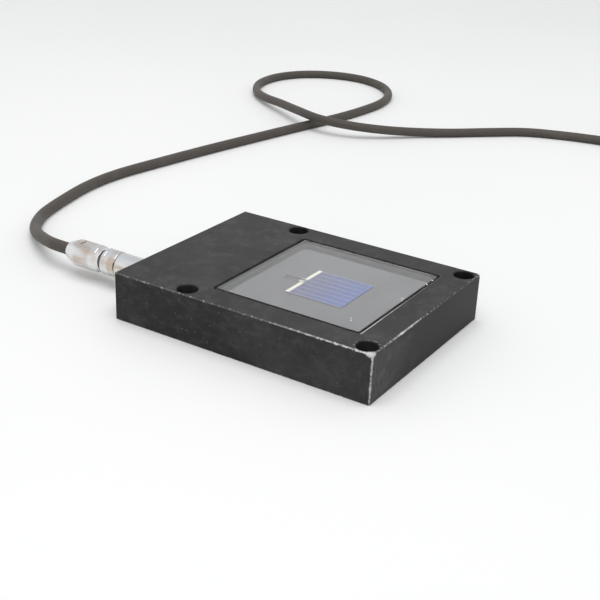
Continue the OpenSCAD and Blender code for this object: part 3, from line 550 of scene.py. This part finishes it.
def carrier_grey():
    """Blasted aluminium under clear anodising: a fine even grain and broad faint clouds."""
    f = Finish("carrier_grey")
    grain = f.noise(7.0, 3.0, 0.7)
    cloud = f.noise(0.06, 3.0, 0.5)
    low, high = (0.086, 0.085, 0.089), (0.110, 0.109, 0.114)
    shade = f.mix(f.ramp(grain * 0.5 + cloud * 0.5, 0.35, 0.65), low, high)
    return f.close(f.surface(shade, 0.75 + 0.1 * (grain - 0.5), 0.0, f.bump(grain, 0.4, 0.02), IOR=1.3))


def silicon():
    """The cell's face: a blue coat on silicon, a little greyer toward the busbar, with faint streaks."""
    f = Finish("silicon")
    x = f.axes()[0]
    across = f.ramp(x, CELL_X - CELL_SIDE / 2, CELL_X + CELL_SIDE / 2)
    streak = f.noise(1.0, 4.0, 0.6, f.stretched(0.5, 3.0, 1.0))
    cloud = f.noise(0.12, 3.0, 0.5)
    grey_blue, deep_blue, pale_blue = (0.022, 0.034, 0.105), (0.005, 0.050, 0.27), (0.070, 0.090, 0.185)
    blue = f.mix(across * 0.8 + 0.35 * (cloud - 0.5), grey_blue, deep_blue)
    shade = f.mix(f.ramp(streak, 0.35, 0.75) * 0.35, blue, pale_blue)
    return f.close(f.surface(shade, 0.35 + 0.1 * streak, 0.0, f.bump(streak, 0.3, 0.01), IOR=1.5))


def silver_print():
    """Fired silver paste: pale, matt, a little grainy, with a cream cast."""
    f = Finish("silver_print")
    grain = f.noise(9.0, 4.0, 0.7)
    broad = f.noise(0.35, 2.0)
    shade = f.mix(f.ramp(grain * 0.6 + broad * 0.4, 0.35, 0.65), (0.56, 0.54, 0.47), (0.68, 0.66, 0.59))
    return f.close(f.surface(shade, 0.55, 0.0, f.bump(grain, 0.6, 0.03)))


def finger_print():
    """The fingers' thinner print: the blue of the cell shows through, with a faint rose cast."""
    f = Finish("finger_print")
    grain = f.noise(2.5, 3.0, 0.6)
    shade = f.mix(f.ramp(grain, 0.35, 0.65), (0.16, 0.17, 0.27), (0.29, 0.26, 0.33))
    return f.close(f.surface(shade, 0.5, 0.0, f.bump(grain, 0.4, 0.01)))


def solder():
    """Solder over the tab: lumpy, dull grey with a faint green cast and brighter high spots."""
    f = Finish("solder")
    lumps = f.noise(1.3, 3.0, 0.5)
    grain = f.noise(7.0, 2.0, 0.6)
    shade = f.mix(f.ramp(lumps, 0.4, 0.65), (0.32, 0.35, 0.31), (0.62, 0.65, 0.58))
    return f.close(f.surface(shade, 0.42 + 0.15 * grain, 0.35, f.bump(lumps + 0.2 * grain, 0.8, 0.12)))


def nickel_plate(name="nickel_plate", groove=False):
    """Bright plate on turned brass: fine rings across the axis, and painted reflections: long soft tan and
    silver streaks along it, tan most of all about the middle of the nut and the front of the sleeve, and a
    cool grey one along the top. The plug's shell has painted shade in the groove between its sleeve and its
    nut."""
    f = Finish(name)
    x, y, z = f.axes()
    far = f.ramp(x, 20.0, 30.0)
    along = f.either(far, x, y)
    side = f.either(far, y - AXIS_Y, x - TAIL_X)
    rise = f.either(far, z - AXIS_Z, z - FAR_Z)
    rings = f.noise(1.0, 2.0, 0.6, f.node("ShaderNodeCombineXYZ", None, {0: along * 9.0}))
    # painted reflection: soft tan and silver streaks keyed to the angle round the axis, long along it
    drawn = f.node("ShaderNodeCombineXYZ", None, {0: along * 0.05, 1: side * 0.35, 2: rise * 0.35})
    reflection_bands = f.noise(1.0, 2.0, 0.5, drawn)
    cloud = f.noise(0.25, 2.0, 0.5)
    out = f.either(far, -BODY_L / 2 - x, FAR_Y - y)
    nut_middle, sleeve_front = 28.8, 15.4
    # painted tan reflection about the middle of the nut and the front of the sleeve
    nut_reflection = f.ramp(abs(out - nut_middle), 2.2, 4.4, 1.0, 0.0)
    sleeve_reflection = f.ramp(abs(out - sleeve_front), 0.9, 2.3, 1.0, 0.0)
    tan_reflection = nut_reflection.or_more(sleeve_reflection)
    # the first two colours are the ends of the painted reflection streaks, the third a painted cool grey
    # reflection along the top
    tan, silver, top_reflection = (0.53, 0.44, 0.36), (0.76, 0.775, 0.785), (0.36, 0.38, 0.41)
    stain, groove_shade = (0.66, 0.65, 0.63), (0.10, 0.098, 0.095)
    shade = f.mix(f.ramp(reflection_bands + 0.12 - 0.2 * tan_reflection, 0.28, 0.68), tan, silver)
    # painted reflection: a cool grey cast along the top of the plug
    shade = f.mix(f.ramp(rise, 2.4, 4.4) * 0.55, shade, top_reflection)
    shade = f.mix(f.ramp(cloud, 0.4, 0.65) * 0.2, shade, stain)
    # painted shade in the groove between the sleeve and the nut
    if groove:
        shade = f.mix(f.ramp(out, 19.6, 20.2), shade, groove_shade)
    roughness = 0.10 + 0.05 * rings
    return f.close(f.surface(shade, roughness, 1.0, f.bump(rings, 0.12, 0.004)))


def cable_jacket():
    """Matt dark jacket: a fine skin texture, faint dust on some stretches and small rubbed marks."""
    f = Finish("cable_jacket")
    skin = f.noise(6.0, 3.0, 0.65)
    dust = f.noise(0.09, 3.0, 0.6)
    marks = f.noise(0.9, 4.0, 0.7)
    base = f.mix(f.ramp(skin, 0.3, 0.7), (0.047, 0.039, 0.032), (0.066, 0.056, 0.046))
    pale = f.ramp(dust, 0.45, 0.75) * 0.3 + f.ramp(marks, 0.62, 0.74) * 0.25
    shade = f.mix(pale, base, (0.11, 0.10, 0.095))
    relief = f.bump(skin + 0.5 * marks, 0.5, 0.05)
    return f.close(f.surface(shade, 0.62 + 0.12 * (marks - 0.5), 0.0, relief))


def strap_fabric():
    """Hook and loop strap: a woven ground of crossing ribs with a nap of fine loops."""
    f = Finish("strap_fabric")
    x, y, z = f.axes()
    warp = (x * 7.0).math("SINE")
    weft = ((y + z) * 7.0).math("SINE")
    weave = warp * weft * 0.5 + 0.5
    nap = f.noise(5.0, 3.0, 0.7)
    shade = f.mix((weave * 0.5 + nap * 0.5).or_less(1.0), (0.010, 0.010, 0.012), (0.045, 0.045, 0.050))
    relief = f.bump(weave * 0.6 + nap * 0.8, 0.8, 0.12)
    return f.close(f.surface(shade, 0.9, 0.0, relief, Sheen_Weight=0.3))


def dress(material, *names):
    """Puts the material on the pieces or CAD nodes of these names."""
    for name in names:
        piece = NODES.get(name) or bpy.data.objects[name]
        piece.data.materials.clear()
        piece.data.materials.append(material)


def both(part):
    """The near and the far plug's node of that part."""
    return ["plug_" + part, "far_plug_" + part]


dress(black_anodised(), "housing", "back_cover")
dress(window_glass(), "window_glass")
dress(plain("bead_sealant", (0.095, 0.095, 0.10), 0.5, 0.15, 1.2, 0.05), "window_bead")
dress(silicon(), "solar_cell")
dress(silver_print(), "busbar")
dress(finger_print(), "grid_fingers")
dress(solder(), "solder_tab")
dress(plain("lead_sleeving", (0.075, 0.07, 0.068), 0.55), "front_lead")
dress(plain("black_polymer", (0.045, 0.045, 0.047), 0.5), "feedthrough_sleeve")
dress(plain("copper", (0.72, 0.34, 0.18), 0.3, 0.1, 2.0, 0.01, 1.0), "back_contact_foil", "rear_lead")
dress(carrier_grey(), "cell_carrier")
dress(plain("thermal_pad", (0.42, 0.44, 0.47), 0.8), "thermal_pad")
dress(plain("ceramic", (0.80, 0.78, 0.73), 0.6), "temperature_sensor")
dress(plain("tinned_wire", (0.62, 0.63, 0.65), 0.25, 0.08, 1.0, 0.01, 1.0), "sensor_leads")
dress(plain("board_laminate", (0.03, 0.15, 0.055), 0.4, 0.2, 0.5, 0.02), "terminal_board")
dress(plain("nylon", (0.72, 0.69, 0.60), 0.5), "board_spacers")
dress(plain("stainless", (0.55, 0.55, 0.57), 0.3, 0.1, 0.4, 0.01, 1.0), "board_screws", "cover_screws")
dress(plain("gold_plate", (0.85, 0.62, 0.27), 0.22, 0.08, 0.6, 0.005, 1.0),
      "terminal_posts", "receptacle_sockets", *both("pins"))
dress(plain("wire_red", (0.50, 0.02, 0.02), 0.45), "wire_red")
dress(plain("wire_black", (0.015, 0.015, 0.015), 0.45), "wire_black")
dress(plain("wire_white", (0.76, 0.75, 0.72), 0.45), "wire_white")
dress(plain("wire_yellow", (0.70, 0.45, 0.02), 0.45), "wire_yellow")
dress(plain("gasket_rubber", (0.05, 0.05, 0.055), 0.7), "cover_gasket", "receptacle_seal")
dress(plain("insert_polymer", (0.74, 0.70, 0.58), 0.45), "receptacle_insert", *both("insert"))
dress(plain("brass_collet", (0.66, 0.50, 0.22), 0.3, 0.1, 0.5, 0.01, 1.0), *both("collet"))
dress(nickel_plate(), "receptacle_shell", "latch_sleeve", "far_latch_sleeve",
      "collet_nut", "far_collet_nut")
dress(nickel_plate("nickel_shell", True), *both("shell"))
dress(cable_jacket(), "cable")
dress(strap_fabric(), "coil_strap")


# Table, light and surroundings

def make_floor():
    """A wide flat table top."""
    reach = 4000.0
    corners = [[-reach, -reach, 0], [reach, -reach, 0], [reach, reach, 0], [-reach, reach, 0]]
    floor = mesh_piece("table_top", corners, [[0, 1, 2, 3]], smooth=False, closed=False)
    f = Finish("pale_table")
    broad = f.noise(0.004, 2.0, 0.5)
    shade = f.mix(f.ramp(broad, 0.3, 0.7), (0.92, 0.925, 0.92), (0.945, 0.95, 0.94))
    floor.data.materials.append(f.close(f.surface(shade, 0.6, IOR=1.2)))


def soft_lamp(name, place, target, side, power):
    """A square area lamp that looks from its place at its target."""
    lamp = bpy.data.lights.new(name, "AREA")
    lamp.shape = "SQUARE"
    lamp.size = side
    lamp.energy = power
    holder = bpy.data.objects.new(name, lamp)
    aim = np.array(target, float) - np.array(place, float)
    back = -aim / np.linalg.norm(aim)
    across = unit(np.cross([0.0, 1.0, 0.01], back))
    rows = np.stack([across, np.cross(back, across), back, np.array(place, float)], 1)
    holder.matrix_world = Matrix([*rows.tolist(), [0.0, 0.0, 0.0, 1.0]])
    bpy.context.scene.collection.objects.link(holder)


def light_room(level):
    """An even pale room. It lights at the level, and looks white to the eye, in metal and through glass."""
    world = bpy.data.worlds.new("pale_room")
    bpy.context.scene.world = world
    world.use_nodes = True
    tree = world.node_tree
    tree.nodes.clear()
    path = tree.nodes.new("ShaderNodeLightPath")
    seen = tree.nodes.new("ShaderNodeMath")
    seen.operation = "MAXIMUM"
    tree.links.new(path.outputs["Is Camera Ray"], seen.inputs[0])
    mirrored = tree.nodes.new("ShaderNodeMath")
    mirrored.operation = "MAXIMUM"
    tree.links.new(path.outputs["Is Glossy Ray"], mirrored.inputs[0])
    tree.links.new(path.outputs["Is Transmission Ray"], mirrored.inputs[1])
    tree.links.new(mirrored.outputs[0], seen.inputs[1])
    strength = tree.nodes.new("ShaderNodeMapRange")
    tree.links.new(seen.outputs[0], strength.inputs["Value"])
    strength.inputs["To Min"].default_value = level
    strength.inputs["To Max"].default_value = 1.0
    background = tree.nodes.new("ShaderNodeBackground")
    background.inputs["Color"].default_value = (0.985, 0.99, 1.0, 1.0)
    tree.links.new(strength.outputs[0], background.inputs["Strength"])
    out = tree.nodes.new("ShaderNodeOutputWorld")
    tree.links.new(background.outputs[0], out.inputs["Surface"])


make_floor()
light_room(0.62)
soft_lamp("ceiling_lamp", (0.1, -0.15, 1.1), (0.0, 0.0, 0.0), 0.9, 6.5)
bpy.context.scene.view_settings.view_transform = "Standard"
